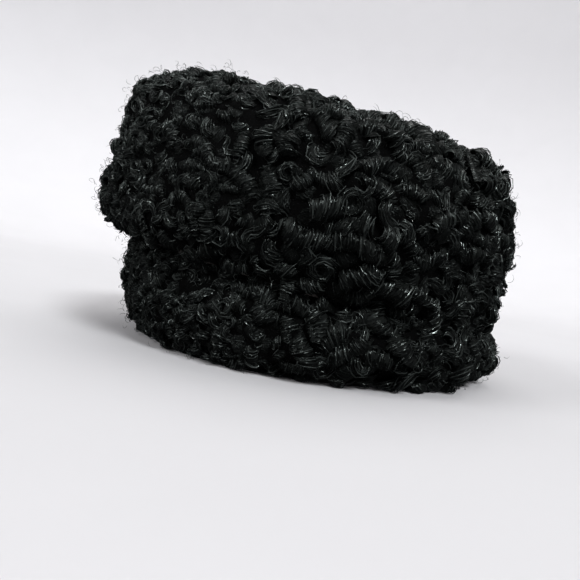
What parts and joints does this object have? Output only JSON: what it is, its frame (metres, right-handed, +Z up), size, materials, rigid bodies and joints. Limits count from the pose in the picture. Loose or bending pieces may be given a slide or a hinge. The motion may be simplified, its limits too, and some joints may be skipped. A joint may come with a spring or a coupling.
{
  "type": "curly lamb fur hat",
  "caption": "Brimless black hat of tightly curled lamb fur: a soft crown leaning to one side over an upturned fur cuff, hollow and open below for the head.",
  "frame": {"origin": "on the surface that the rim rests on, under the middle of the hat's box", "axes": "-Y is the front, +X the wearer's left, +Z up from the rim to the crown"},
  "size_m": [0.234, 0.2648, 0.1382],
  "materials": {
    "crown_fur": "glossy black curled lamb fur, dull dark skin on the inner side",
    "cuff_fur": "glossy black curled lamb fur"
  },
  "bodies": {
    "root": {"crown": "crown_fur", "band": "cuff_fur"}
  },
  "joints": []
}
